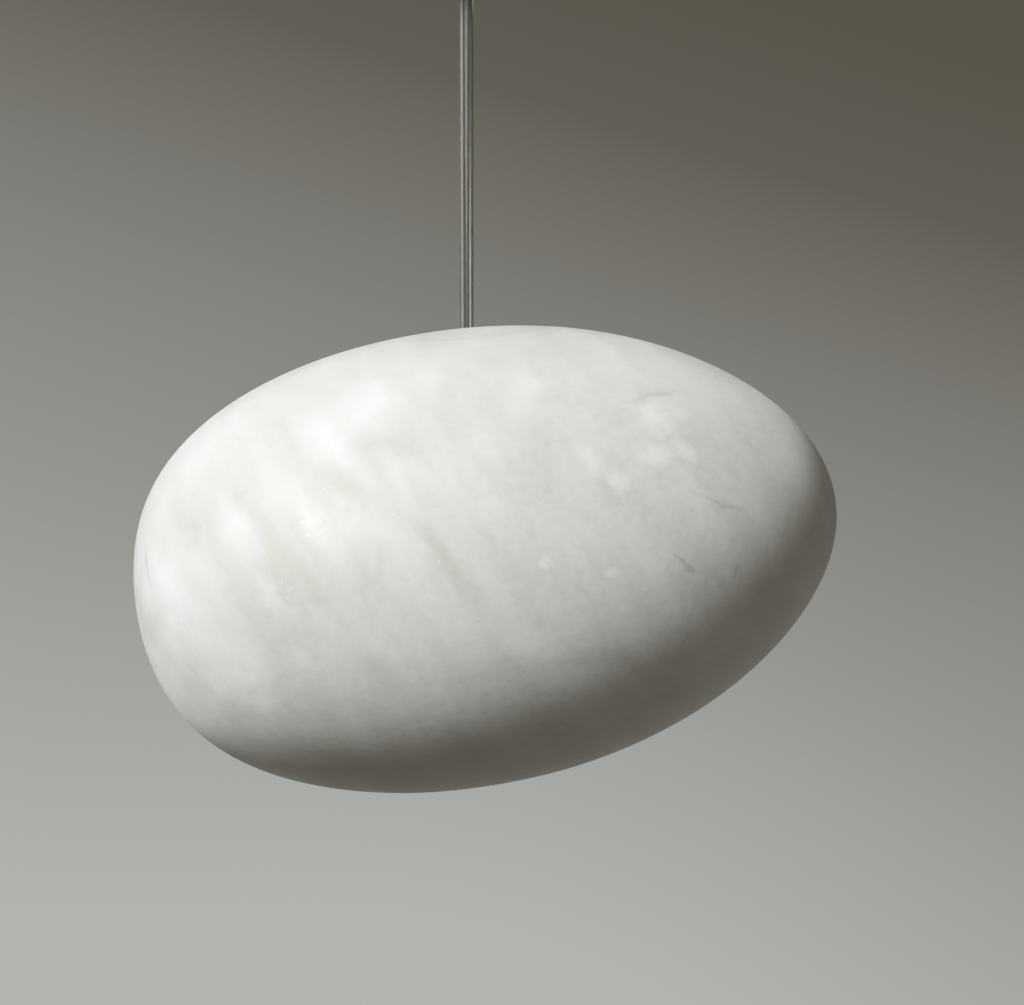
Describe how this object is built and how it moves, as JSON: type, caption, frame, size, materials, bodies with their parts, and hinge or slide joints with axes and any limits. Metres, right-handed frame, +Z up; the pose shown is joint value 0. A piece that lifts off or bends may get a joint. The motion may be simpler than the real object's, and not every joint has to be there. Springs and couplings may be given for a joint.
{
  "type": "alabaster pebble pendant lamp",
  "caption": "Closed alabaster pebble hung on a clear cable from a ball joint in a round ceiling canopy, with a lift-off stone cap over an inner lamp column.",
  "frame": {"origin": "centre of the ceiling plate's top face, in the plane of the ceiling", "axes": "+Z up along the hanging cable, +X to the right in the picture, +Y away from the viewer"},
  "size_m": [0.3502, 0.2643, 0.4674],
  "materials": {
    "alabaster": "satin",
    "clear_pvc": "gloss",
    "tinned_copper": "satin",
    "steel_strand": "satin",
    "turned_steel": "satin",
    "zinc_plated_steel": "satin",
    "brass": "satin",
    "knurled_brass": "satin",
    "acetal": "satin",
    "powder_coat": "matte",
    "driver_plastic": "matte",
    "terminal_plastic": "satin",
    "lead_insulation": "satin",
    "black_rubber": "matte",
    "turned_aluminium": "satin",
    "circuit_board": "satin",
    "led_phosphor": "satin",
    "opal_acrylic": "satin"
  },
  "bodies": {
    "ceiling": {"ceiling_plate": "zinc_plated_steel", "mains_grommet": "black_rubber", "anchor_socket": "turned_steel", "socket_screws": "zinc_plated_steel", "led_driver": "driver_plastic", "driver_screws": "zinc_plated_steel", "terminal_block": "terminal_plastic", "terminal_screws": "brass", "mains_leads": "lead_insulation", "output_leads": "lead_insulation", "earth_screw": "zinc_plated_steel", "canopy_screws": "knurled_brass"},
    "liner": {"ball_liner": "acetal"},
    "cable": {"anchor_ball": "brass", "upper_sleeve": "turned_steel", "cable_jacket": "clear_pvc", "cable_cores": "tinned_copper", "carrier_strand": "steel_strand", "lower_sleeve": "turned_steel"},
    "canopy": {"ceiling_canopy": "powder_coat", "cable_bushing": "acetal", "bushing_nut": "brass"},
    "pendant": {"stone_shell": "alabaster", "clamp_plate": "zinc_plated_steel", "cap_gasket": "black_rubber", "threaded_tube": "zinc_plated_steel", "top_nut": "zinc_plated_steel", "lower_nut": "zinc_plated_steel", "tube_washer": "zinc_plated_steel", "hanger_bar": "zinc_plated_steel", "bar_pads": "black_rubber", "lamp_spacers": "turned_aluminium", "spacer_screws": "zinc_plated_steel", "lamp_head": "turned_aluminium", "junction_board": "circuit_board", "led_post": "turned_aluminium", "led_boards": "circuit_board", "led_chips": "led_phosphor", "led_leads": "lead_insulation", "diffuser_tube": "opal_acrylic", "end_cap": "opal_acrylic", "end_screw": "zinc_plated_steel"},
    "cap": {"stone_cap": "alabaster"}
  },
  "joints": [
    {"name": "swing_side", "type": "hinge", "parent": "ceiling", "child": "liner", "pos_m": [0, 0, -0.027], "axis": [0, 1, 0], "range_deg": [-10, 10]},
    {"name": "swing_front", "type": "hinge", "parent": "liner", "child": "cable", "pos_m": [0, 0, -0.027], "axis": [1, 0, 0], "range_deg": [-10, 10]},
    {"name": "stone_turn", "type": "hinge", "parent": "cable", "child": "pendant", "pos_m": [0, 0, -0.287], "axis": [0, 0, 1], "range_deg": [-180, 180]},
    {"name": "cap_lift", "type": "slide", "parent": "pendant", "child": "cap", "axis": [0, 0, 1], "range_m": [0, 0.12]},
    {"name": "canopy_turn", "type": "hinge", "parent": "ceiling", "child": "canopy", "pos_m": [0, 0, -0.0255], "axis": [0, 0, 1], "range_deg": [0, 18]}
  ]
}
